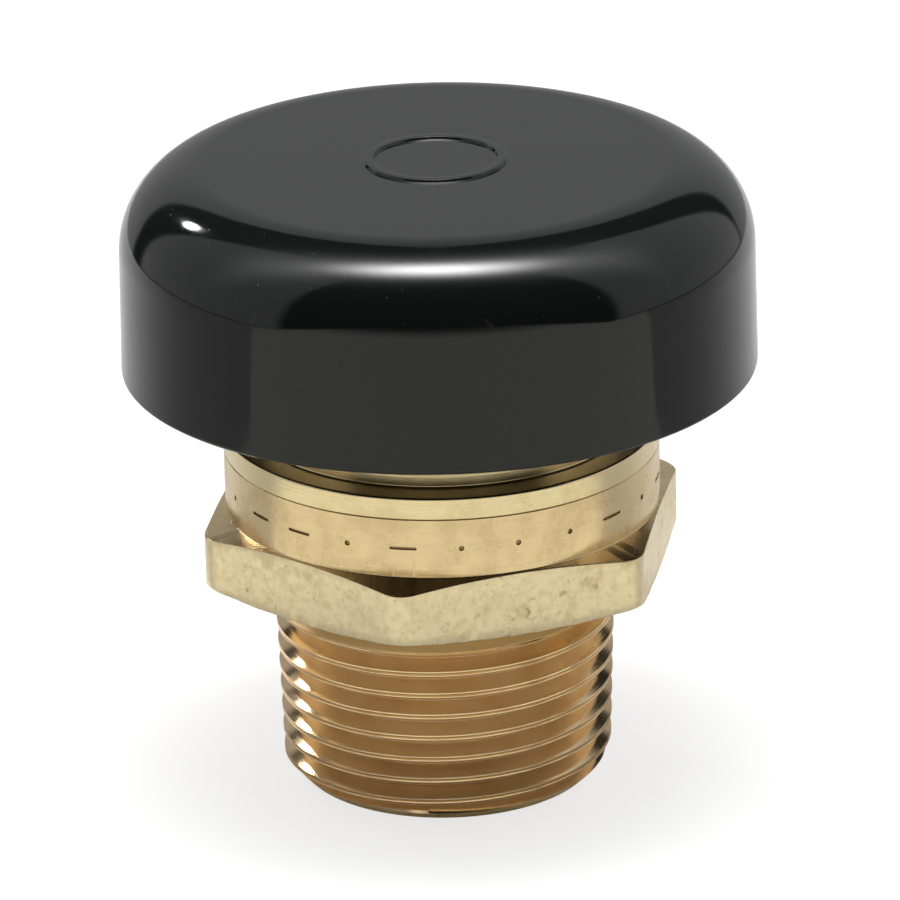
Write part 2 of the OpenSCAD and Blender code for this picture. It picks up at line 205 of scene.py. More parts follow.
def forged_brass(name):
    """Flats of the hexagon: forged and tumbled, with brownish stains and pits in clusters."""
    material, tree = new_material(name)
    place = tree.place_mm()
    clusters = tree.step(tree.noise(place, 0.40, 2.0, 0.5), 0.42, 0.66)
    grains = tree.noise(place, 1.7, 4.0, 0.68)
    pits = tree.math("MULTIPLY", tree.step(grains, 0.54, 0.74), clusters)
    mottle = tree.noise(place, 1.6, 4.0, 0.65)
    tint = tree.mix(tree.step(mottle, 0.35, 0.75), colour(0.96, 0.82, 0.53), colour(0.88, 0.73, 0.44))
    smears = tree.step(tree.noise(place, 0.62, 4.0, 0.62), 0.52, 0.74)
    tint = tree.mix(tree.math("MULTIPLY", smears, 0.55), tint, colour(0.66, 0.49, 0.25))
    tint = tree.mix(tree.math("MULTIPLY", pits, 0.8), tint, colour(0.44, 0.32, 0.16))
    height = tree.math("SUBTRACT", tree.math("MULTIPLY", mottle, 0.6), tree.math("MULTIPLY", pits, 0.3))
    rough = tree.step(mottle, 0.3, 0.8, 0.30, 0.42)
    normal = tree.bump(height, 0.05 * MM, 0.8)
    tree.principled(Base_Color=tint, Metallic=1.0, Roughness=rough, Normal=normal)
    return material


def black_plastic(name):
    """Glossy moulded plastic with a little dust and a few fine scratches."""
    material, tree = new_material(name)
    place = tree.place_mm()
    dust = tree.step(tree.noise(place, 3.2, 1.0, 0.4), 0.775, 0.81)
    streaks = tree.noise(tree.vector("MULTIPLY", place, (0.4, 6.0, 1.0)), 0.6, 2.0, 0.5)
    patches = tree.step(tree.noise(place, 0.25), 0.5, 0.6)
    scuffs = tree.math("MULTIPLY", tree.step(streaks, 0.68, 0.74), patches)
    marks = tree.math("MAXIMUM", dust, tree.math("MULTIPLY", scuffs, 0.25))
    tint = tree.mix(marks, colour(0.0062, 0.0070, 0.0068), colour(0.05, 0.05, 0.046))
    base_rough = tree.step(tree.noise(place, 0.5), 0.3, 0.8, 0.070, 0.10)
    rough = tree.math("ADD", base_rough, tree.math("MULTIPLY", marks, 0.15))
    normal = tree.bump(tree.noise(place, 0.6, 2.0), 0.004 * MM)
    tree.principled(Base_Color=tint, Roughness=rough, IOR=1.5, Normal=normal)
    return material


def stainless(name):
    material, tree = new_material(name)
    place = tree.place_mm()
    rings = tree.noise(tree.turned(place), 14.0, 3.0, 0.6)
    shade = tree.noise(place, 1.2, 3.0)
    tint = tree.mix(shade, colour(0.60, 0.60, 0.60), colour(0.70, 0.69, 0.67))
    rough = tree.step(rings, 0.3, 0.7, 0.20, 0.32)
    normal = tree.bump(rings, 0.006 * MM)
    tree.principled(Base_Color=tint, Metallic=1.0, Roughness=rough, Normal=normal)
    return material


def acetal(name):
    """Natural white moulded acetal, a little waxy."""
    material, tree = new_material(name)
    place = tree.place_mm()
    flow = tree.noise(place, 0.9, 3.0)
    tint = tree.mix(flow, colour(0.80, 0.79, 0.74), colour(0.72, 0.70, 0.63))
    normal = tree.bump(tree.noise(place, 7.0, 2.0), 0.006 * MM)
    tree.principled(Base_Color=tint, Roughness=tree.step(flow, 0.3, 0.7, 0.36, 0.46), Normal=normal)
    return material


def rubber(name, base, worn):
    material, tree = new_material(name)
    place = tree.place_mm()
    bloom = tree.noise(place, 1.4, 4.0, 0.6)
    tint = tree.mix(tree.step(bloom, 0.4, 0.8), base, worn)
    normal = tree.bump(tree.noise(place, 12.0, 2.0), 0.008 * MM)
    tree.principled(Base_Color=tint, Roughness=tree.step(bloom, 0.3, 0.7, 0.42, 0.6), Normal=normal)
    return material


# ---------- mesh building ----------

# Faces round a corner of an outline: more of them where its radius is 1 mm or above.
SMALL_ARC_STEPS = 3
LARGE_ARC_STEPS = 24

# Points nearer to each other than this are welded: in a new grid, and after a cut.
GRID_WELD = 0.0005
CUT_WELD = 0.002


def rounded(corners, closed=True):
    """Outline through (r, z, radius) corners, with an arc at each corner whose radius isn't 0.

    A radius is made smaller where the arc would use up more than half of an edge."""
    points = []
    for i, (r, z, radius) in enumerate(corners):
        here = Vector((r, z))
        if radius == 0 or (not closed and i in (0, len(corners) - 1)):
            points.append(here)
            continue
        back = Vector(corners[i - 1][:2]) - here
        ahead = Vector(corners[(i + 1) % len(corners)][:2]) - here
        arc_steps = SMALL_ARC_STEPS if radius < 1 else LARGE_ARC_STEPS
        half = back.angle(ahead) / 2
        room = 0.48 * min(back.length, ahead.length)
        radius = min(radius, room * math.tan(half))
        reach = radius / math.tan(half)
        first = back.normalized() * reach
        last = ahead.normalized() * reach
        if (first - last).length < 1e-4 or math.cos(half) < 1e-3:
            points += [here] * (arc_steps + 1)
            continue
        centre = (first + last).normalized() * (radius / math.sin(half))
        spoke, sweep = first - centre, (first - centre).angle(last - centre)
        other = last - centre
        for s in range(arc_steps + 1):
            share = s / arc_steps
            arm = (spoke * math.sin((1 - share) * sweep) + other * math.sin(share * sweep)) / math.sin(sweep)
            points.append(here + centre + arm)
    return points


def grid_mesh(columns, ends="round"):
    """Watertight bmesh from columns of points; all are closed outlines with the same point count.

    The last column joins the first ("round"), lies on it ("meet"), or both get a flat face ("caps")."""
    mesh = bmesh.new()
    known = {}

    def vertex(point):
        key = tuple(round(c, 4) for c in point)
        if key not in known:
            known[key] = mesh.verts.new(point)
        return known[key]

    def face(corners):
        unique = [v for i, v in enumerate(corners) if v is not corners[i - 1]]
        if len(set(unique)) == len(unique) >= 3 and mesh.faces.get(unique) is None:
            mesh.faces.new(unique)

    rows = len(columns[0])
    pairs = len(columns) if ends == "round" else len(columns) - 1
    for j in range(pairs):
        here, there = columns[j], columns[(j + 1) % len(columns)]
        for i in range(rows):
            k = (i + 1) % rows
            face([vertex(here[i]), vertex(there[i]), vertex(there[k]), vertex(here[k])])
    if ends == "caps":
        for column in (columns[0], columns[-1]):
            face([vertex(point) for point in column])
    bmesh.ops.remove_doubles(mesh, verts=mesh.verts, dist=GRID_WELD)
    bmesh.ops.recalc_face_normals(mesh, faces=mesh.faces)
    if mesh.calc_volume(signed=True) < 0:
        bmesh.ops.reverse_faces(mesh, faces=mesh.faces)
    return mesh


def prism(near, far):
    """Closed bmesh between two outlines with the same point count."""
    mesh = bmesh.new()
    near = [mesh.verts.new(point) for point in near]
    far = [mesh.verts.new(point) for point in far]
    mesh.faces.new(near)
    mesh.faces.new(list(reversed(far)))
    for i in range(len(near)):
        k = (i + 1) % len(near)
        mesh.faces.new([near[i], far[i], far[k], near[k]])
    bmesh.ops.recalc_face_normals(mesh, faces=mesh.faces)
    return mesh


def spin(outline, angle):
    return [Vector((p.x * math.cos(angle), p.x * math.sin(angle), p.y)) for p in outline]


def to_object(name, mesh):
    """Blender object, in metres, from a bmesh in millimetres."""
    bmesh.ops.scale(mesh, vec=(MM,) * 3, verts=mesh.verts)
    data = bpy.data.meshes.new(name)
    mesh.to_mesh(data)
    mesh.free()
    piece = bpy.data.objects.new(name, data)
    bpy.context.scene.collection.objects.link(piece)
    return piece


def lathe(name, corners, count, start=0.0, sweep=360.0):
    """Solid of revolution of a closed outline with rounded corners; angles in degrees."""
    return revolve(name, rounded(corners), count, start, sweep)


def rod(name, radius, low_z, high_z, count, edge=0.0):
    """Cylinder round the Z axis with rounded edges."""
    return lathe(name, [(0, low_z, 0), (radius, low_z, edge), (radius, high_z, edge), (0, high_z, 0)], count)


def revolve(name, outline, count, start=0.0, sweep=360.0):
    whole = sweep >= 360
    last = count if whole else count + 1
    angles = [math.radians(start + sweep * j / count) for j in range(last)]
    return to_object(name, grid_mesh([spin(outline, a) for a in angles], "round" if whole else "caps"))


def block(name, low, high, bevel, turn=0.0):
    """Box between two corners with bevelled edges, turned round Z by an angle in degrees."""
    mesh = bmesh.new()
    bmesh.ops.create_cube(mesh, size=1)
    low, high = Vector(low), Vector(high)
    bmesh.ops.scale(mesh, vec=high - low, verts=mesh.verts)
    bmesh.ops.translate(mesh, vec=(low + high) / 2, verts=mesh.verts)
    if bevel:
        bmesh.ops.bevel(mesh, geom=mesh.edges, offset=bevel, segments=2, affect="EDGES", profile=0.5)
    bmesh.ops.rotate(mesh, matrix=Matrix.Rotation(math.radians(turn), 3, "Z"), verts=mesh.verts)
    return to_object(name, mesh)


def combine(target, tools, operation):
    """Boolean of target with several tools at once; the tools are removed."""
    tool = tools[0]
    if len(tools) > 1:
        joined = bmesh.new()
        for other in tools:
            joined.from_mesh(other.data)
        joined.to_mesh(tool.data)
        joined.free()
        for other in tools[1:]:
            bpy.data.objects.remove(other)
    modifier = target.modifiers.new("combine", "BOOLEAN")
    modifier.operation = operation
    modifier.solver = "EXACT"
    modifier.object = tool
    bpy.context.view_layer.update()
    evaluated = target.evaluated_get(bpy.context.evaluated_depsgraph_get())
    data = bpy.data.meshes.new_from_object(evaluated)
    mesh = bmesh.new()
    mesh.from_mesh(data)
    bmesh.ops.remove_doubles(mesh, verts=mesh.verts, dist=CUT_WELD * MM)
    bmesh.ops.dissolve_degenerate(mesh, edges=mesh.edges, dist=CUT_WELD * MM)
    mesh.to_mesh(data)
    mesh.free()
    target.modifiers.clear()
    target.data = data
    bpy.data.objects.remove(tool)


def finish_piece(piece, node, materials, zone=None):
    """Shade a piece, give it its materials and let it stand for its CAD node."""
    data = piece.data
    data.materials.clear()
    for material in materials:
        data.materials.append(material)
    for face in data.polygons:
        face.use_smooth = True
        face.material_index = zone(face.center / MM, face.normal) if zone else 0
    data.set_sharp_from_angle(angle=math.radians(40))
    weighted = piece.modifiers.new("weighted_normals", "WEIGHTED_NORMAL")
    weighted.mode = "FACE_AREA_WITH_ANGLE"
    weighted.weight = 70
    weighted.keep_sharp = True
    # In metres the faces' areas differ by less than the usual threshold.
    weighted.thresh = 1e-8
    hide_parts(node)
    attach(piece, BODY_OF[node])


def hexagon_directions(flat, corner_r, arc_steps, flat_steps):
    """(angle, radius) round a hexagon with rounded edges and a corner at 30 degrees, once round."""
    reach = (flat - corner_r) / math.cos(math.radians(30))
    points = []
    for k in range(6):
        corner = math.radians(30 + 60 * k)
        centre = Vector((math.cos(corner), math.sin(corner))) * reach
        arc = [corner + math.radians(60 * (s / arc_steps - 0.5)) for s in range(arc_steps + 1)]
        points += [centre + Vector((math.cos(a), math.sin(a))) * corner_r for a in arc]
        first = points[-1]
        following = math.radians(30 + 60 * (k + 1))
        edge = following - math.radians(30)
        last = Vector((math.cos(following), math.sin(following))) * reach
        last = last + Vector((math.cos(edge), math.sin(edge))) * corner_r
        points += [first.lerp(last, s / flat_steps) for s in range(1, flat_steps)]
    directions = []
    for point in points:
        angle = math.atan2(point.y, point.x)
        while directions and angle < directions[-1][0]:
            angle += 2 * math.pi
        directions.append((angle, point.length))
    return directions


def thread_points(turn, turns, form):
    """Outline points of a helical thread, from bottom to top, where it has climbed by turn pitches.

    turns is the lowest and highest value that turn takes, so that every column has the same rows.
    Each crest has a ridge at both edges and a shallow valley between them, as rolling leaves it; the
    ridge tops lean slightly upward."""
    pitch, low, high = form["pitch"], form["low"], form["high"]
    half = (pitch - form["crest_flat"]) / 2
    root = form["root_flat"] / 2
    depth = (half - root) / math.tan(math.radians(30))
    top, lean, valley = form["ridge_top"], form["ridge_lean"], form["valley"]
    centre = [(pitch / 2, valley), (half + top + valley, valley)]
    flank = [(half + (root - half) * s / 3, depth * s / 3) for s in (1, 2, 3)]
    below = centre + [(half + top, 0.0), (half, lean)] + flank
    above = centre + [(half + top, lean), (half, 0.0)] + flank
    shape = [(-offset, drop) for offset, drop in below] + list(reversed(above))
    first = math.floor((low - form["first_z"]) / pitch - turns[1]) - 2
    last = math.ceil((high - form["first_z"]) / pitch - turns[0]) + 2
    points = []
    for groove in range(first, last + 1):
        middle = form["first_z"] + pitch * (groove + 0.5 + turn)
        share = form["share"](middle)
        for offset, drop in shape:
            z = min(max(middle + offset * share, low), high)
            r = min(form["crest_r"](z) - drop * share, form["start_r"](z))
            points.append(Vector((r, z)))
    return points


def smooth(value):
    value = min(max(value, 0.0), 1.0)
    return value * value * (3 - 2 * value)


# ---------- brass body ----------

body_high = box_mm("valve_body")[1]
bonnet_low, bonnet_high = box_mm("bonnet")
cap_low, cap_high = box_mm("protective_cap")

HEX_FLAT = body_high.x
HEX_REACH = body_high.y
HEX_LOW = 17.35
HEX_HIGH = 22.5
HEX_DROP = 0.55
HEX_CORNER_R = 2.5
COLLAR_R = bonnet_high.x
JOINT_Z = body_high.z
JOINT_CHAMFER = 0.06
CHAMBER_R = 13.2
SOCKET_R = 15.05
GLAND_R = 16.2
GUIDE_R = 9.5
RING_GROOVE_R = 10.1
RING_GROOVE_LOW = 4.0
RING_GROOVE_HIGH = 5.1
SHANK_R = 8.9
LEDGE_Z = 9.0
CHAMBER_Z = 19.0
SOCKET_Z = 23.0
GLAND_Z = JOINT_Z - 1.2
THREAD_PITCH = 25.4 / 14
CREST_R = 12.93
PLAIN_R = 13.39
THREAD_TOP = HEX_LOW - 1.2
MOUTH_CHAMFER = 0.8
START_R = 11.6
START_Z = 0.12
GROOVE_FULL_Z = 14.0
GROOVE_GONE_Z = 15.3

INLET_THREAD = {
    "pitch": THREAD_PITCH,
    "first_z": 2.07,
    "low": START_Z,
    "high": THREAD_TOP,
    "crest_flat": 0.38,
    "root_flat": 0.05,
    "ridge_top": 0.09,
    "ridge_lean": 0.016,
    "valley": 0.035,
    "crest_r": lambda z: min(CREST_R + z / 32, PLAIN_R),
    "start_r": lambda z: START_R + z,
    "share": lambda z: smooth((GROOVE_GONE_Z - z) / (GROOVE_GONE_Z - GROOVE_FULL_Z)),
}


def body_corners(hex_r):
    """Body outline above the thread and down through the waterway, where the hexagon's radius is hex_r."""
    share = (hex_r - HEX_FLAT) / (HEX_REACH - HEX_FLAT)
    drop = HEX_DROP * max(share, 0.0)
    side = [(hex_r, HEX_LOW + drop + (HEX_HIGH - HEX_LOW - 2 * drop) * s / 6, 0) for s in range(1, 6)]
    return [
        (PLAIN_R, THREAD_TOP, 0),
        (PLAIN_R, HEX_LOW, 0.3),
        (HEX_FLAT - 0.6, HEX_LOW, 0.4),
        (hex_r, HEX_LOW + drop, 0.08),
        *side,
        (hex_r, HEX_HIGH - drop, 0.1),
        (COLLAR_R, HEX_HIGH, 0.1),
        (COLLAR_R, JOINT_Z - JOINT_CHAMFER, 0.03),
        (COLLAR_R - JOINT_CHAMFER, JOINT_Z, 0.03),
        (GLAND_R, JOINT_Z, 0.1),
        (GLAND_R, GLAND_Z, 0.1),
        (SOCKET_R, GLAND_Z, 0.1),
        (SOCKET_R, SOCKET_Z, 0.1),
        (CHAMBER_R, SOCKET_Z, 0.1),
        (CHAMBER_R, CHAMBER_Z, 0.4),
        (SHANK_R + 0.5, CHAMBER_Z, 0.15),
        (SHANK_R, CHAMBER_Z - 0.5, 0.15),
        (SHANK_R, LEDGE_Z, 0.08),
        (GUIDE_R, LEDGE_Z, 0.08),
        (GUIDE_R, RING_GROOVE_HIGH, 0.06),
        (RING_GROOVE_R, RING_GROOVE_HIGH, 0.06),
        (RING_GROOVE_R, RING_GROOVE_LOW, 0.06),
        (GUIDE_R, RING_GROOVE_LOW, 0.06),
        (GUIDE_R, MOUTH_CHAMFER, 0.1),
        (GUIDE_R + MOUTH_CHAMFER, 0, 0.12),
        (START_R, 0, 0.1),
        (START_R + START_Z, START_Z, 0),
    ]


def forge(mesh):
    """Uneven flats and a slightly ragged lower edge on the hexagon, in place of machine-true ones."""
    for vertex in mesh.verts:
        place = vertex.co
        radius = math.hypot(place.x, place.y)
        outside = smooth((radius - COLLAR_R - 0.02) / 0.15)
        if outside == 0 or not HEX_LOW - 0.1 < place.z < HEX_HIGH + 0.1:
            continue
        direction = Vector((place.x, place.y, 0)) / radius
        wave = 0.035 * noise.noise(place * 0.35) + 0.012 * noise.noise(place * 1.7)
        ragged = smooth((HEX_LOW + 0.8 - place.z) / 0.8) * 0.09 * noise.noise(place * 1.9)
        vertex.co = place + direction * (min(wave, 0.0) - 0.01) * outside + Vector((0, 0, ragged * outside))


MARK_DEPTH = 0.14
MARK_ROW_Z = 24.9
MARK_STEP = 15
MARK_SIZE = {"dash": (2.2, 0.34), "dot": (0.6, 0.6)}
MARK_SIDES = 16
MARK_PATTERN = ("dash", "dot", "dot", "dash", "dash", "dot", "dash", "dot", "dot", "dot", "dash", "dot")


def collar_marks():
    """Row of dots and level dashes engraved round the collar, where the real valve is stamped."""
    tools = []
    for k, kind in enumerate(MARK_PATTERN * 2):
        angle = math.radians(k * MARK_STEP)
        length, height = MARK_SIZE[kind]
        rings = []
        for r, grow in ((COLLAR_R - MARK_DEPTH, 0.62), (COLLAR_R + 0.3, 1.0)):
            ring = []
            for j in range(MARK_SIDES):
                around = 2 * math.pi * (j + 0.5) / MARK_SIDES
                straight = (length - height) / 2 * (1 if math.cos(around) > 0 else -1)
                across = straight + height / 2 * grow * math.cos(around)
                z = MARK_ROW_Z + height / 2 * grow * math.sin(around)
                turn = angle + across / COLLAR_R
                ring.append((r * math.cos(turn), r * math.sin(turn), z))
            rings.append(ring)
        tools.append(to_object("mark", prism(*rings)))
    return tools


TURNED, FORGED, FLANK, ENGRAVED, RIDGE, VALLEY = range(6)
RIDGE_DEPTH = 0.016
VALLEY_DEPTH = 0.05


def valve_body(*materials):
    """The body; its materials are in the order of the zone names TURNED to VALLEY."""
    directions = hexagon_directions(HEX_FLAT, HEX_CORNER_R, 14, 26)
    first_angle, first_radius = directions[0]
    directions.append((first_angle + 2 * math.pi, first_radius))
    facing = -math.pi / 2 + CAMERA_TURN
    turns = [(angle - facing) / (2 * math.pi) for angle, hex_r in directions]
    columns = []
    for (angle, hex_r), turn in zip(directions, turns):
        thread = thread_points(turn, (turns[0], turns[-1]), INLET_THREAD)
        columns.append(spin(thread + rounded(body_corners(hex_r), closed=False), angle))
    mesh = grid_mesh(columns, "meet")
    forge(mesh)
    piece = to_object("valve_body_mesh", mesh)
    combine(piece, collar_marks(), "DIFFERENCE")

    def zone(centre, normal):
        """The hexagon's sides look forged; the end chamfer takes the same lighter, rougher brass, its
        lighter colour being painted light; thread and marks differ from the rest.
        """
        radius = math.hypot(centre.x, centre.y)
        if radius > COLLAR_R + 0.05 and centre.z < HEX_HIGH + 0.05:
            return TURNED if normal.z > 0.5 else FORGED
        # Painted light: the end chamfer gets the lighter forged brass.
        if centre.z < 1.3 and radius > START_R and INLET_THREAD["start_r"](centre.z) - radius < 0.02:
            return FORGED
        if centre.z < HEX_LOW and radius > START_R - 0.6:
            depth = INLET_THREAD["crest_r"](centre.z) - radius
            if depth > VALLEY_DEPTH or centre.z > GROOVE_FULL_Z + 0.5:
                return FLANK
            # Ridges get a lighter brass as painted light, valleys a darker one as painted shade.
            return RIDGE if depth < RIDGE_DEPTH else VALLEY
        on_row = abs(centre.z - MARK_ROW_Z) < 0.4
        return ENGRAVED if on_row and COLLAR_R - 0.25 < radius < COLLAR_R - 0.02 else TURNED

    finish_piece(piece, "valve_body", materials, zone)


# ---------- bonnet ----------

CROSS_TURNS = (45, 135)
FLANGE_Z = 29.0
BOSS_R = 14.8
BOSS_Z = bonnet_high.z
SNAP_R = 14.2
SNAP_LOW = 34.4
SNAP_HIGH = 35.6
WEB_Z = 28.3
WEB_TOP = 31.0
SEAT_Z = 27.35
SEAT_R = 8.5
PORT_R = 8.4
CUP_R = 12.4
HUB_R = 3.6
HUB_Z = 29.4
HUB_TOP = 33.0
BUSH_R = 2.3
SPOKE_W = 1.8
SLOT_W = 3.0
SLOT_DEPTH = 1.4


def bonnet(turned):
    plug_r = SOCKET_R - 0.04
    piece = lathe("bonnet_mesh", [
        (CHAMBER_R, bonnet_low.z, 0.1), (plug_r - 0.4, bonnet_low.z, 0.1),
        (plug_r, bonnet_low.z + 0.4, 0.1), (plug_r, JOINT_Z, 0.05),
        (COLLAR_R - JOINT_CHAMFER, JOINT_Z, 0.03), (COLLAR_R, JOINT_Z + JOINT_CHAMFER, 0.03),
        (COLLAR_R, FLANGE_Z, 0.2), (BOSS_R, FLANGE_Z, 0.15),
        (BOSS_R, SNAP_LOW, 0.06), (SNAP_R, SNAP_LOW, 0.06), (SNAP_R, SNAP_HIGH, 0.06),
        (BOSS_R, SNAP_HIGH, 0.06),
        (BOSS_R, BOSS_Z - 0.4, 0.15), (BOSS_R - 0.4, BOSS_Z, 0.15), (CUP_R + 0.4, BOSS_Z, 0.15),
        (CUP_R, BOSS_Z - 0.4, 0.15), (CUP_R, WEB_TOP, 0.4), (PORT_R, WEB_TOP, 0.1),
        (PORT_R, WEB_Z, 0.05), (SEAT_R, WEB_Z, 0.05), (SEAT_R, SEAT_Z, 0.15),
        (SEAT_R + 0.8, SEAT_Z, 0.15), (SEAT_R + 0.8, WEB_Z, 0.1), (CHAMBER_R, WEB_Z, 0.3),
    ], 240)
    hub = rod("hub", HUB_R, HUB_Z, HUB_TOP, 64, 0.25)
    spoke_low = (-PORT_R - 1, -SPOKE_W / 2, HUB_Z)
    spoke_high = (PORT_R + 1, SPOKE_W / 2, WEB_TOP)
    spokes = [block("spoke", spoke_low, spoke_high, 0.2, turn) for turn in CROSS_TURNS]
    combine(spokes[0], [spokes[1]], "UNION")
    combine(hub, [spokes[0]], "UNION")
    combine(piece, [hub], "UNION")
    bore = rod("bore", BUSH_R, HUB_Z - 1, HUB_TOP + 1, 64)
    slot_low = (-BOSS_R - 1, -SLOT_W / 2, BOSS_Z - SLOT_DEPTH)
    slot = block("slot", slot_low, (BOSS_R + 1, SLOT_W / 2, BOSS_Z + 1), 0.15)
    combine(piece, [bore, slot], "DIFFERENCE")
    finish_piece(piece, "bonnet", [turned])


# ---------- cap ----------

CAP_RIM_R = cap_high.x
CAP_SIDE_R = 24.45
CAP_RING_R = 5.6
CAP_RING_W = 0.9
CAP_RING_H = 0.2
CAP_TOP = cap_high.z - CAP_RING_H
CAP_WALL = 1.5
CAP_ROOF = 1.8
SHOULDER_R = 6.7
FINGER_R = 14.95
FINGER_TIP_R = 14.35
FINGER_OUTER_R = 16.2
FINGER_LOW = 34.2
FINGER_SPAN = 24
RIB_FOOT = 37.05
RIB_W = 1.2


def protective_cap(plastic):
    low, top = cap_low.z, CAP_TOP
    roof = top - CAP_ROOF
    ring_top = top + CAP_RING_H
    ring_inner = CAP_RING_R - CAP_RING_W
    piece = lathe("protective_cap_mesh", [
        (CAP_RIM_R - CAP_WALL + 0.4, low, 0.25), (CAP_RIM_R, low, 0.3), (CAP_SIDE_R, top, SHOULDER_R),
        (CAP_RING_R, top, 0.05), (CAP_RING_R - 0.1, ring_top, 0.05), (ring_inner + 0.1, ring_top, 0.05),
        (ring_inner, top, 0.05), (ring_inner - 0.3, top, 0), (0, top, 0), (0, roof, 0),
        (CAP_SIDE_R - CAP_WALL, roof, SHOULDER_R - CAP_WALL),
    ], 240)
    inner = []
    for k in range(6):
        inner.append(lathe("finger", [
            (FINGER_OUTER_R, FINGER_LOW, 0.2), (FINGER_OUTER_R, roof + 0.4, 0), (FINGER_R, roof + 0.4, 0),
            (FINGER_R, SNAP_HIGH - 0.15, 0.1), (FINGER_TIP_R, SNAP_HIGH - 0.25, 0.1),
            (FINGER_TIP_R, SNAP_LOW + 0.35, 0.15), (FINGER_R + 0.2, FINGER_LOW, 0.15),
        ], 10, 60 * k + 30 - FINGER_SPAN / 2, FINGER_SPAN))
        inner.append(cap_rib(60 * k, roof))
    combine(piece, inner, "UNION")
    finish_piece(piece, "protective_cap", [plastic])


def cap_rib(turn, roof):
    """Thin rib from the roof down to just above the boss, sloping up towards the side wall."""
    inner, outer = 12.0, CAP_SIDE_R - CAP_WALL + 0.3
    outline = [(inner, RIB_FOOT), (FINGER_OUTER_R, RIB_FOOT), (outer, 42.0), (outer, 44.0)]
    outline += [(outer - 0.65, 46.3), (outer - 2.25, 48.1), (18.75, roof + 0.4), (inner, roof + 0.4)]
    mesh = prism([(r, -RIB_W / 2, z) for r, z in outline], [(r, RIB_W / 2, z) for r, z in outline])
    bmesh.ops.bevel(mesh, geom=mesh.edges, offset=0.12, segments=2, affect="EDGES", profile=0.5)
    bmesh.ops.rotate(mesh, matrix=Matrix.Rotation(math.radians(turn), 3, "Z"), verts=mesh.verts)
    return to_object("rib", mesh)


# ---------- seals and guides ----------

BORE_R = 1.56
GUIDE_RING_R = 8.7
GUIDE_HUB_R = 3.0
ARM_W = 1.6
RING_GAP_TURN = 45
RING_GAP_HALF = 12
LUG_TURN = 19
LUG_REACH = 8.3
LUG_R = 1.35
LUG_HOLE_R = 0.6


def bonnet_o_ring(material):
    low, high = box_mm("bonnet_o_ring")
    section = (high.z - low.z) / 2
    centre = Vector((high.x - section, (high.z + low.z) / 2))
    turns = [2 * math.pi * j / 20 for j in range(20)]
    outline = [centre + Vector((math.cos(a), math.sin(a))) * section for a in turns]
    finish_piece(revolve("bonnet_o_ring_mesh", outline, 180), "bonnet_o_ring", [material])


def guide_bush(material):
    low, high = box_mm("guide_bush")
    piece = lathe("guide_bush_mesh", [
        (BORE_R, low.z, 0.15), (BUSH_R, low.z, 0.15), (BUSH_R, HUB_TOP, 0.04),
        (high.x, HUB_TOP, 0.1), (high.x, high.z, 0.15), (BORE_R, high.z, 0.15),
    ], 72)
    finish_piece(piece, "guide_bush", [material])


def lower_guide(material):
    low, high = box_mm("lower_guide")
    piece = lathe("lower_guide_mesh", [
        (GUIDE_RING_R, low.z, 0.15), (high.x, low.z, 0.2), (high.x, LEDGE_Z, 0.2),
        (GUIDE_RING_R, LEDGE_Z, 0.15),
    ], 180)
    hub = lathe("hub", [
        (0, low.z, 0), (GUIDE_HUB_R, low.z, 0.2), (GUIDE_HUB_R, high.z - 0.4, 0.1),
        (GUIDE_HUB_R - 0.4, high.z, 0.1), (0, high.z, 0),
    ], 72)
    reach = GUIDE_RING_R + 0.3
    arm_low = (-reach, -ARM_W / 2, low.z + 0.02)
    arm_high = (reach, ARM_W / 2, LEDGE_Z - 0.02)
    arms = [block("arm", arm_low, arm_high, 0.2, turn) for turn in CROSS_TURNS]
    combine(arms[0], [arms[1]], "UNION")
    combine(hub, [arms[0]], "UNION")
    combine(piece, [hub], "UNION")
    combine(piece, [rod("bore", BORE_R, low.z - 1, high.z + 1, 48)], "DIFFERENCE")
    finish_piece(piece, "lower_guide", [material])


def guide_ring(material):
    """Internal retaining ring with a gap, and a lug with a plier hole either side of it."""
    low, high = box_mm("guide_ring")
    outer = RING_GROOVE_R - 0.05
    piece = lathe("guide_ring_mesh", [
        (GUIDE_RING_R, low.z, 0.12), (outer, low.z, 0.12), (outer, high.z, 0.12),
        (GUIDE_RING_R, high.z, 0.12),
    ], 168, RING_GAP_TURN + RING_GAP_HALF, 360 - 2 * RING_GAP_HALF)
    for side in (-LUG_TURN, LUG_TURN):
        turn = math.radians(RING_GAP_TURN + side)
        place = Vector((LUG_REACH * math.cos(turn), LUG_REACH * math.sin(turn), 0)) * MM
        lug = rod("lug", LUG_R, low.z, high.z, 48, 0.12)
        hole = rod("hole", LUG_HOLE_R, low.z - 1, high.z + 1, 24)
        for tool, operation in ((lug, "UNION"), (hole, "DIFFERENCE")):
            tool.data.transform(Matrix.Translation(place))
            combine(piece, [tool], operation)
    finish_piece(piece, "guide_ring", [material])


# ---------- poppet ----------

BOLT_HOLE_R = 2.02
BOLT_R = 2.0
STEM_R = 1.5
STEM_SIDES = 72
STEM_FLANGE_R = 2.8
STEM_FLANGE_H = 0.8
CLIP_GROOVE_R = 1.1
CLIP_GROOVE_H = 0.6
nut_low, nut_high = box_mm("stem_nut")
washer_high = box_mm("disc_washer")[1]
holder_low, holder_high = box_mm("disc_holder")
disc_low, disc_high = box_mm("seat_disc")
retainer_low, retainer_high = box_mm("spring_retainer")

STEM_THREAD = {
    "pitch": 0.7,
    "first_z": nut_low.z + 0.4,
    "low": nut_low.z + 0.4,
    "high": holder_low.z + 1.0,
    "crest_flat": 0.10,
    "root_flat": 0.08,
    "ridge_top": 0.03,
    "ridge_lean": 0.0,
    "valley": 0.0,
    "crest_r": lambda z: BOLT_R,
    "start_r": lambda z: BOLT_R,
    "share": lambda z: smooth((z - nut_low.z - 0.4) / 0.5) * smooth((holder_low.z + 0.6 - z) / 0.5),
}


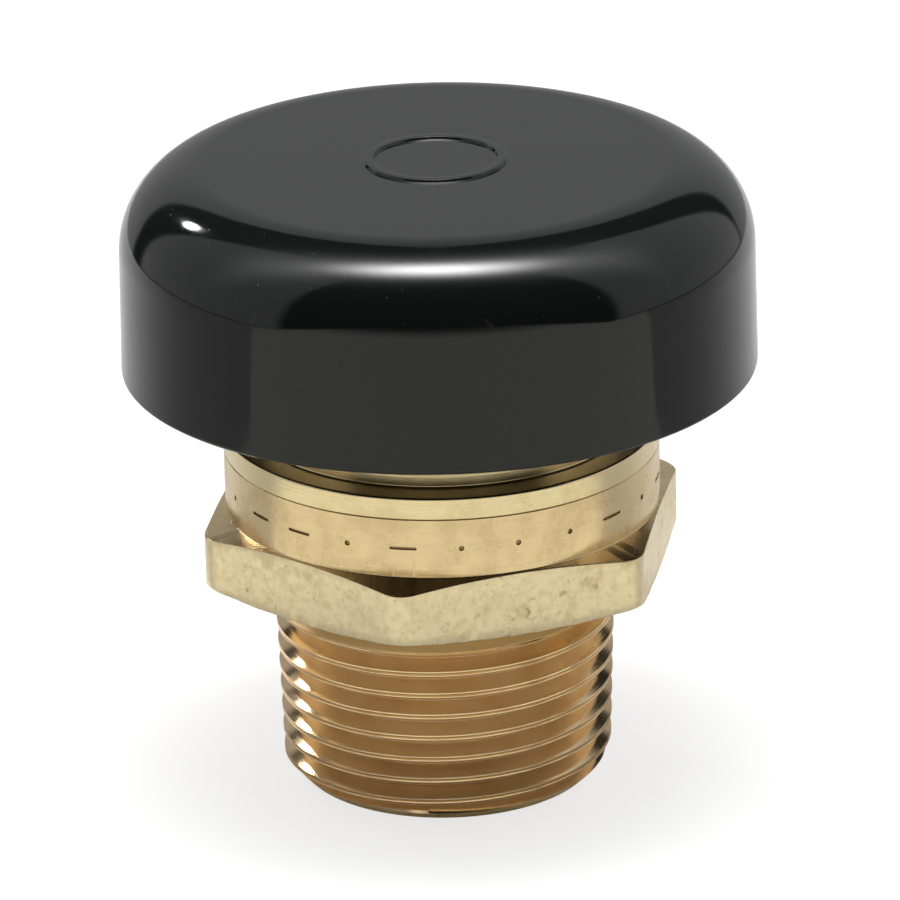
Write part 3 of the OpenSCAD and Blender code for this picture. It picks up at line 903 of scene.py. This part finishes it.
def stem(material):
    low, high = box_mm("stem")
    flange = washer_high.z
    flange_top = flange + STEM_FLANGE_H
    groove = retainer_high.z
    groove_top = groove + CLIP_GROOVE_H
    below = [(0, low.z, 0), (STEM_R, low.z, 0.4), (STEM_R, nut_low.z + 0.1, 0.05),
             (BOLT_R - 0.3, nut_low.z + 0.1, 0.05), (BOLT_R, STEM_THREAD["low"], 0)]
    above = [
        (BOLT_R, STEM_THREAD["high"], 0), (BOLT_R, flange, 0.05), (STEM_FLANGE_R, flange, 0.15),
        (STEM_FLANGE_R, flange_top, 0.15), (STEM_R, flange_top, 0.2), (STEM_R, groove, 0.06),
        (CLIP_GROOVE_R, groove, 0.05), (CLIP_GROOVE_R, groove_top, 0.05),
        (STEM_R, groove_top, 0.06), (STEM_R, high.z, 0.4), (0, high.z, 0),
    ]
    columns = []
    for j in range(STEM_SIDES + 1):
        turn = j / STEM_SIDES
        outline = rounded(below, closed=False) + thread_points(turn, (0, 1), STEM_THREAD)
        columns.append(spin(outline + rounded(above, closed=False), 2 * math.pi * turn))
    finish_piece(to_object("stem_mesh", grid_mesh(columns, "meet")), "stem", [material])


def disc_holder(material):
    low, high = holder_low, holder_high
    rim_in = disc_high.x + 0.05
    piece = lathe("disc_holder_mesh", [
        (BOLT_HOLE_R, low.z, 0.1), (5, low.z, 0.3), (high.x - 1.2, low.z + 0.7, 0.4),
        (high.x, low.z + 1.2, 0.15), (high.x, high.z, 0.15), (rim_in, high.z, 0.15),
        (rim_in, disc_low.z, 0.1), (BOLT_HOLE_R, disc_low.z, 0.1),
    ], 192)
    finish_piece(piece, "disc_holder", [material])


def flat_ring(node, count, material):
    """Washer or disc that fills its CAD node's box, round the bolt hole."""
    low, high = box_mm(node)
    edge = 0.15
    piece = lathe(node + "_mesh", [
        (BOLT_HOLE_R, low.z, edge / 2), (high.x, low.z, edge), (high.x, high.z, edge),
        (BOLT_HOLE_R, high.z, edge / 2),
    ], count)
    finish_piece(piece, node, [material])


def lock_washer(material):
    low, high = box_mm("lock_washer")
    outer = (high.y - low.y) / 2
    piece = lathe("lock_washer_mesh", [
        (BOLT_HOLE_R, low.z, 0.1), (outer, low.z, 0.1), (outer, high.z, 0.1), (BOLT_HOLE_R, high.z, 0.1),
    ], 120)
    split = block("split", (0, -0.2, low.z - 1), (outer + 1, 0.2, high.z + 1), 0, 60)
    combine(piece, [split], "DIFFERENCE")
    finish_piece(piece, "lock_washer", [material])


def stem_nut(material):
    """Hexagon nut whose corners are cut back at both faces."""
    low, high = nut_low, nut_high
    corner = high.x
    flat = corner * math.cos(math.radians(30))
    columns = []
    for angle, hex_r in hexagon_directions(flat - 0.01, 0.12, 4, 12):
        drop = 0.3 * max(hex_r - (corner - 0.4), 0) / 0.55
        outline = rounded([
            (BOLT_HOLE_R, low.z + 0.15, 0.05), (BOLT_HOLE_R + 0.15, low.z, 0.05), (flat - 0.2, low.z, 0.1),
            (hex_r, low.z + drop, 0.05), (hex_r, high.z - drop, 0.05), (flat - 0.2, high.z, 0.1),
            (BOLT_HOLE_R + 0.15, high.z, 0.05), (BOLT_HOLE_R, high.z - 0.15, 0.05),
        ])
        columns.append(spin(outline, angle - math.radians(30)))
    finish_piece(to_object("stem_nut_mesh", grid_mesh(columns)), "stem_nut", [material])


def spring_retainer(material):
    low, high = retainer_low, retainer_high
    bore = STEM_R + 0.03
    seat = low.z + 0.5
    piece = lathe("spring_retainer_mesh", [
        (bore, seat, 0.08), (high.x - 0.4, seat, 0.08), (high.x - 0.4, low.z, 0.1), (high.x, low.z, 0.1),
        (high.x, high.z, 0.2), (bore, high.z, 0.1),
    ], 72)
    finish_piece(piece, "spring_retainer", [material])


def stem_clip(material):
    """E-shaped clip: an open ring with three teeth that reach into the stem's groove."""
    low, high = box_mm("stem_clip")
    outer = high.y
    opening = math.degrees(math.asin(1.15 / outer))
    piece = lathe("stem_clip_mesh", [
        (outer - 0.9, low.z, 0.08), (outer, low.z, 0.08), (outer, high.z, 0.08), (outer - 0.9, high.z, 0.08),
    ], 72, opening, 360 - 2 * opening)
    for turn in (90, 180, 270):
        inner = CLIP_GROOVE_R + 0.02
        tooth = block("tooth", (inner, -0.45, low.z + 0.01), (outer - 0.5, 0.45, high.z - 0.01), 0.08, turn)
        combine(piece, [tooth], "UNION")
    finish_piece(piece, "stem_clip", [material])


# ---------- return spring ----------

WIRE_R = 0.15
COIL_R = 2.6
ACTIVE_TURNS = 7
TURN_STEPS = 28
WIRE_SIDES = 12


def return_spring(material):
    """Coil with one close-wound turn at each end."""
    low, high = box_mm("return_spring")
    turns = ACTIVE_TURNS + 2
    closed = 2.1 * WIRE_R
    open_rise = (high.z - low.z - 2 * WIRE_R - 2 * closed) / ACTIVE_TURNS
    mesh = bmesh.new()
    rings = []
    for i in range(turns * TURN_STEPS + 1):
        turn = i / TURN_STEPS
        opened = min(max(turn - 1, 0), ACTIVE_TURNS)
        rise = (turn - opened) * closed + opened * open_rise
        ring = []
        for j in range(WIRE_SIDES):
            around = 2 * math.pi * j / WIRE_SIDES
            r = COIL_R + WIRE_R * math.cos(around)
            z = low.z + WIRE_R + rise + WIRE_R * math.sin(around)
            angle = 2 * math.pi * turn
            ring.append(mesh.verts.new((r * math.cos(angle), r * math.sin(angle), z)))
        rings.append(ring)
    for near, far in zip(rings, rings[1:]):
        for j in range(WIRE_SIDES):
            k = (j + 1) % WIRE_SIDES
            mesh.faces.new([near[j], far[j], far[k], near[k]])
    mesh.faces.new(rings[0])
    mesh.faces.new(list(reversed(rings[-1])))
    bmesh.ops.recalc_face_normals(mesh, faces=mesh.faces)
    piece = to_object("return_spring_mesh", mesh)
    finish_piece(piece, "return_spring", [material])
    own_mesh(piece)


# ---------- stage ----------

FLOOR_R = 320
FLOOR_Z = -0.02
BOARD_FAR = 300
BOARD_TOP = 110
BOARD_STEPS = 64
BOARD_LEFT = (-88, -65)
BOARD_RIGHT = (82, 75)


def add_floor():
    """Pale floor. The camera sees it plain; reflections see painted light and shade in its colour, standing
    in for the lit and shadowed paper of a light tent.

    From underneath it is clear, so that a view from below shows the object, and the small disc that
    the waterway covers glows, so that such a view finds its inside lit."""
    mesh = bmesh.new()
    bmesh.ops.create_circle(mesh, cap_ends=True, segments=128, radius=FLOOR_R)
    bmesh.ops.translate(mesh, vec=(0, 0, FLOOR_Z), verts=mesh.verts)
    floor = to_object("floor", mesh)
    material, tree = new_material("floor")
    place = tree.place_mm()
    radius = tree.radius_height(place)[0]
    # Painted light and shade, seen only in reflections: paler behind the valve, a painted shadow behind it
    # on the right, and painted light close round its foot.
    behind = tree.math("MULTIPLY", tree.along(place, FRONT), -1.0)
    behind = tree.math("DIVIDE", behind, radius)
    beside = tree.along(place, RIGHT)
    near_rear = tree.math("MULTIPLY", tree.step(behind, -0.2, 0.4), tree.step(radius, 45, 62, 0.55, 0.0))
    far_light = tree.math("ADD", tree.step(radius, 45, 62, 0.0, 0.22), tree.step(radius, 92, 110, 0.0, 0.08))
    far_rear = tree.math("MULTIPLY", tree.step(behind, 0.0, 0.9), far_light)
    shade = tree.math("ADD", 0.30, tree.math("ADD", near_rear, far_rear))
    # Painted light close round the foot.
    close = tree.math("ADD", tree.step(radius, 14, 19, 0.78, 0.27), tree.step(radius, 22, 32, 0.18, 0.0))
    shade = tree.math("MAXIMUM", shade, close)
    # Painted shadow on the floor behind the valve, on the right.
    painted_shadow_right = tree.math("MULTIPLY", tree.step(beside, 4, 24), tree.step(radius, 40, 55, 1.0, 0.0))
    painted_shadow_right = tree.math("MULTIPLY", painted_shadow_right, tree.step(behind, 0.0, 0.4))
    shade = tree.math("MULTIPLY", shade, tree.math("SUBTRACT", 1.0, tree.math("MULTIPLY", painted_shadow_right, 0.62)))
    grey = tree.add("ShaderNodeCombineColor", {0: shade, 1: shade, 2: shade}).outputs[0]
    matt = tree.add("ShaderNodeBsdfDiffuse", {"Color": grey})
    under_bore = tree.step(radius, START_R - 1.0, START_R - 0.3, 1.0, 0.0)
    disc = tree.add("ShaderNodeEmission", {"Color": colour(1, 1, 1), "Strength": under_bore})
    reflected = tree.add("ShaderNodeAddShader", {0: matt.outputs[0], 1: disc.outputs[0]})
    paper = tree.add("ShaderNodeBsdfDiffuse", {"Color": colour(0.30, 0.30, 0.30)})
    glow = tree.add("ShaderNodeEmission", {"Color": colour(1, 1, 1), "Strength": 0.74})
    both = tree.add("ShaderNodeAddShader", {0: paper.outputs[0], 1: glow.outputs[0]})
    seen = tree.add("ShaderNodeLightPath").outputs["Is Camera Ray"]
    mixed = tree.add("ShaderNodeMixShader", {0: seen, 1: reflected.outputs[0], 2: both.outputs[0]})
    underneath = tree.add("ShaderNodeNewGeometry").outputs["Backfacing"]
    clear = tree.add("ShaderNodeBsdfTransparent").outputs[0]
    one_sided = tree.add("ShaderNodeMixShader", {0: underneath, 1: mixed.outputs[0], 2: clear})
    tree.add("ShaderNodeOutputMaterial", {"Surface": one_sided.outputs[0]})
    floor.data.materials.append(material)


def add_front_board():
    """Glowing sheet that lies in front of the valve and turns up, a painted reflection of lit white paper:
    only reflections see it and it lights nothing.
    """
    mesh = bmesh.new()
    reaches = [(54, 0), (60, 0), (66, 0), (75, 0), (100, 0), (118, 0), (160, 0), (220, 0), (290, 0)]
    reaches += [(BOARD_FAR, share) for share in (0.02, 0.25, 0.5, 0.75, 1.0)]
    rows = []
    for reach, share in reaches:
        outward = smooth((reach - 100) / 18)
        left = BOARD_LEFT[0] + (BOARD_LEFT[1] - BOARD_LEFT[0]) * outward
        right = BOARD_RIGHT[0] + (BOARD_RIGHT[1] - BOARD_RIGHT[0]) * outward
        row = []
        for j in range(BOARD_STEPS + 1):
            turn = math.radians(left + (right - left) * j / BOARD_STEPS)
            top = BOARD_TOP * max(0.03, math.cos(1.5 * turn))
            direction = RIGHT * math.sin(turn) + FRONT * math.cos(turn)
            row.append(mesh.verts.new(direction * reach + Vector((0, 0, 0.5 + top * share))))
        rows.append(row)
    for low, high in zip(rows, rows[1:]):
        for j in range(BOARD_STEPS):
            mesh.faces.new([low[j], low[j + 1], high[j + 1], high[j]])
    board = to_object("front_board", mesh)
    material, tree = new_material("front_board")
    place = tree.place_mm()
    radius, height = tree.radius_height(place)
    # Painted brightness: brightest from 61 to 70 mm out from the valve; the upright part fades towards its
    # top.
    near = tree.step(radius, 56, 61, 0.38, 1.33)
    far = tree.math("ADD", tree.step(radius, 70, 77, 0.0, 0.63), tree.step(radius, 84, 92, 0.0, -0.09))
    beside = tree.along(place, RIGHT)
    # Painted shade on the right-hand part, 71 to 100 mm out.
    painted_shade_close_right = tree.math("MULTIPLY", tree.step(radius, 71, 77), tree.step(radius, 92, 100, 0.16, 0.0))
    painted_shade_close_right = tree.math("MULTIPLY", tree.step(beside, 5, 60), painted_shade_close_right)
    fade = tree.math("SUBTRACT", tree.step(height, 25, 105, 1.0, 0.05), painted_shade_close_right)
    strength = tree.math("MULTIPLY", tree.math("SUBTRACT", near, far), fade)
    glow = tree.add("ShaderNodeEmission", {"Color": colour(1.0, 0.99, 0.88), "Strength": strength})
    tree.add("ShaderNodeOutputMaterial", {"Surface": glow.outputs[0]})
    board.data.materials.append(material)
    board.visible_camera = False
    board.visible_diffuse = False
    board.visible_shadow = False


def add_tent():
    """Soft light tent as a world: a grey back, paler sides, a strong light overhead and a dark front."""
    world = bpy.data.worlds.new("tent")
    bpy.context.scene.world = world
    tree = Tree(world)
    direction = tree.add("ShaderNodeTexCoord").outputs["Generated"]
    right = tree.along(direction, RIGHT)
    front = tree.along(direction, FRONT)
    up = tree.along(direction, (0, 0, 1))
    degrees = 180 / math.pi

    def angle(y, x):
        return tree.math("MULTIPLY", tree.math("ARCTAN2", y, x), degrees)

    rise = tree.math("MULTIPLY", tree.math("ARCSINE", up), degrees)
    turn = angle(right, front)
    away = tree.math("ABSOLUTE", turn)

    def glow(tilt_front, tilt_side, width_front, width_side, strength):
        """Soft light near the zenith, tilted towards the front and the right; in degrees."""
        first = tree.math("DIVIDE", tree.math("SUBTRACT", angle(front, up), tilt_front), width_front)
        second = tree.math("DIVIDE", tree.math("SUBTRACT", angle(right, up), tilt_side), width_side)
        square = tree.math("ADD", tree.math("MULTIPLY", first, first), tree.math("MULTIPLY", second, second))
        return tree.math("MULTIPLY", tree.math("EXPONENT", tree.math("MULTIPLY", square, -1.0)), strength)

    def spot(at_turn, at_rise, size, strength):
        """Small bright light with a soft edge, size degrees across."""
        at_turn, at_rise = math.radians(at_turn), math.radians(at_rise)
        target = RIGHT * math.sin(at_turn) + FRONT * math.cos(at_turn)
        target = target * math.cos(at_rise) + Vector((0, 0, math.sin(at_rise)))
        cosine = tree.along(direction, target)
        edge = math.cos(math.radians(size / 2))
        core = math.cos(math.radians(size / 3))
        return tree.step(cosine, edge, core, 0.0, strength)

    # The back panel is an arch: 40 degrees to either side at the floor, 50 degrees high in the middle.
    height = tree.math("POWER", tree.math("DIVIDE", rise, 50.0, clamp=True), 1.5)
    half = tree.math("MULTIPLY", tree.math("SUBTRACT", 1.0, height), 40.0)
    inside = tree.math("SUBTRACT", half, tree.math("SUBTRACT", 180.0, away))
    back = tree.math("MULTIPLY", tree.step(inside, -1.5, 1.5), tree.step(rise, 36, 52, 0.38, 0.24))
    # Both side panels are turned 4 degrees to the right.
    shifted = tree.math("ABSOLUTE", tree.math("SUBTRACT", turn, 4.0))
    side_band = tree.math("MULTIPLY", tree.step(rise, -8.5, -6.5), tree.step(rise, 54, 68, 1.0, 0.0))
    side_width = tree.math("MULTIPLY", tree.step(shifted, 59, 64), tree.step(shifted, 133, 136, 1.0, 0.0))
    side_light = tree.step(right, -0.9, 0.9, 0.45, 0.50)
    sides = tree.math("MULTIPLY", tree.math("MULTIPLY", side_band, side_width), side_light)
    total = tree.math("ADD", tree.math("ADD", back, sides), 0.02)
    for light in (glow(0, 0, 8, 15, 24.0), glow(-2, 0, 15, 38, 2.5), spot(-140, 33, 7, 28.0)):
        total = tree.math("ADD", total, light)
    seen = tree.add("ShaderNodeLightPath").outputs["Is Camera Ray"]
    strength = tree.math("ADD", tree.math("MULTIPLY", total, tree.math("SUBTRACT", 1.0, seen)), seen)
    background = tree.add("ShaderNodeBackground", {"Color": colour(1, 1, 1), "Strength": strength})
    tree.add("ShaderNodeOutputWorld", {"Surface": background.outputs[0]})


# ---------- scene ----------

bpy.context.scene.view_settings.view_transform = "Standard"
add_camera()
add_floor()
add_front_board()
add_tent()

# Brasses: name, colour, stained colour, roughness, depth of the tool marks.
BODY_BRASS = turned_brass("body_brass", colour(0.84, 0.655, 0.38), colour(0.76, 0.57, 0.315), 0.22, 0.010)
BONNET_BRASS = turned_brass("bonnet_brass", colour(0.90, 0.75, 0.46), colour(0.83, 0.67, 0.38), 0.20, 0.010)
# The thread brass is painted brown from 14.2 mm up as painted shade under the hexagon; the ridge and valley
# brasses are lit and shaded copies of it: painted light on the ridges, painted shade in the valleys.
THREAD_BRASS = turned_brass(
    "thread_brass", colour(0.85, 0.63, 0.375), colour(0.80, 0.57, 0.32), 0.10, 0.006, painted_shade_from_z=14.2
)
PAINTED_LIGHT_RIDGE_BRASS = turned_brass("painted_light_ridge_brass", colour(0.88, 0.70, 0.44), colour(0.82, 0.62, 0.37), 0.12, 0.006)
PAINTED_SHADE_VALLEY_BRASS = turned_brass("painted_shade_valley_brass", colour(0.72, 0.41, 0.15), colour(0.66, 0.36, 0.13), 0.20, 0.006)
MARK_BRASS = turned_brass("engraved_brass", colour(0.42, 0.28, 0.13), colour(0.34, 0.23, 0.11), 0.40, 0.010)
STEEL = stainless("stainless")
ACETAL = acetal("acetal")
SILICONE = rubber("silicone", colour(0.55, 0.10, 0.04), colour(0.62, 0.17, 0.08))
SEAL_RUBBER = rubber("seal_rubber", colour(0.016, 0.016, 0.018), colour(0.05, 0.05, 0.05))

valve_body(BODY_BRASS, forged_brass("forged_brass"), THREAD_BRASS, MARK_BRASS, PAINTED_LIGHT_RIDGE_BRASS, PAINTED_SHADE_VALLEY_BRASS)
bonnet(BONNET_BRASS)
protective_cap(black_plastic("black_plastic"))
bonnet_o_ring(SEAL_RUBBER)
guide_bush(ACETAL)
lower_guide(ACETAL)
guide_ring(STEEL)
stem(STEEL)
disc_holder(BONNET_BRASS)
flat_ring("seat_disc", 192, SILICONE)
flat_ring("disc_washer", 120, STEEL)
lock_washer(STEEL)
stem_nut(STEEL)
return_spring(STEEL)
spring_retainer(STEEL)
stem_clip(STEEL)
